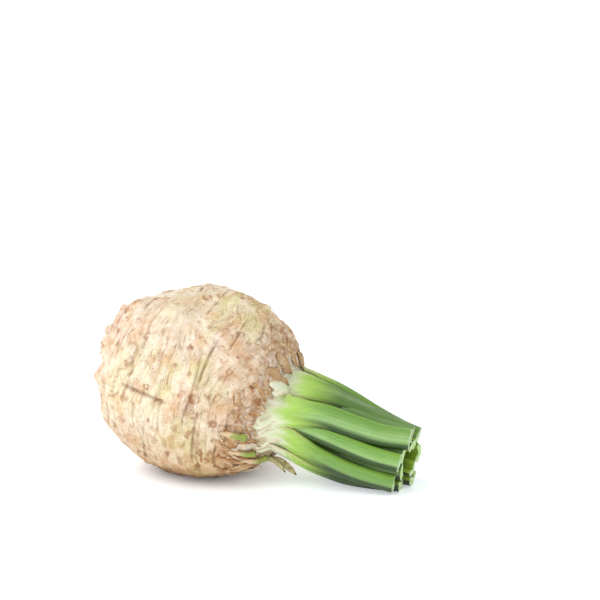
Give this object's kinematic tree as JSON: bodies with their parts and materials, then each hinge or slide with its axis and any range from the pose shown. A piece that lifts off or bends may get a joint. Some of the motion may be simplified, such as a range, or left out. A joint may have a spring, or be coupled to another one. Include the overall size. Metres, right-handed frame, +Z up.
{
  "type": "celeriac root",
  "caption": "Celeriac root lying on its side: a knobbly round bulb on a small flat spot, with a bundle of leaf stalks cut short.",
  "frame": {"origin": "in the small flat spot that the bulb rests on, straight under the middle of the bulb", "axes": "+X along the root towards the cut leaf stalks, -X towards the trimmed side roots, -Y the near side with the side shoots, +Z up"},
  "size_m": [0.2133, 0.1211, 0.1201],
  "materials": {
    "root_skin": "dry, rough skin",
    "leaf_stalk": "smooth, slightly waxy",
    "side_shoot": "smooth",
    "dry_leaf": "dry and papery"
  },
  "bodies": {
    "root": {"root_bulb": "root_skin", "leaf_stalk_upper_near": "leaf_stalk", "leaf_stalk_lower_near": "leaf_stalk", "leaf_stalk_top": "leaf_stalk", "leaf_stalk_bottom_near": "leaf_stalk", "leaf_stalk_bottom_far": "leaf_stalk", "leaf_stalk_far": "leaf_stalk", "leaf_stalk_upper_far": "leaf_stalk", "leaf_stalk_near": "leaf_stalk", "leaf_stalk_inner_top": "leaf_stalk", "leaf_stalk_inner_low": "leaf_stalk", "leaf_stalk_inner_near": "leaf_stalk", "leaf_stalk_inner_far": "leaf_stalk", "leaf_stalk_heart": "leaf_stalk", "side_shoot_high": "side_shoot", "side_shoot_middle": "side_shoot", "side_shoot_low": "side_shoot", "dry_leaf_curl": "dry_leaf", "dry_leaf_strip": "dry_leaf", "dry_scale_01": "dry_leaf", "dry_scale_02": "dry_leaf", "dry_scale_03": "dry_leaf", "dry_scale_04": "dry_leaf", "dry_scale_05": "dry_leaf", "dry_scale_06": "dry_leaf", "dry_scale_07": "dry_leaf", "dry_scale_08": "dry_leaf", "dry_scale_09": "dry_leaf", "dry_scale_10": "dry_leaf", "dry_scale_11": "dry_leaf", "dry_scale_12": "dry_leaf", "dry_scale_13": "dry_leaf", "dry_scale_14": "dry_leaf"}
  },
  "joints": []
}
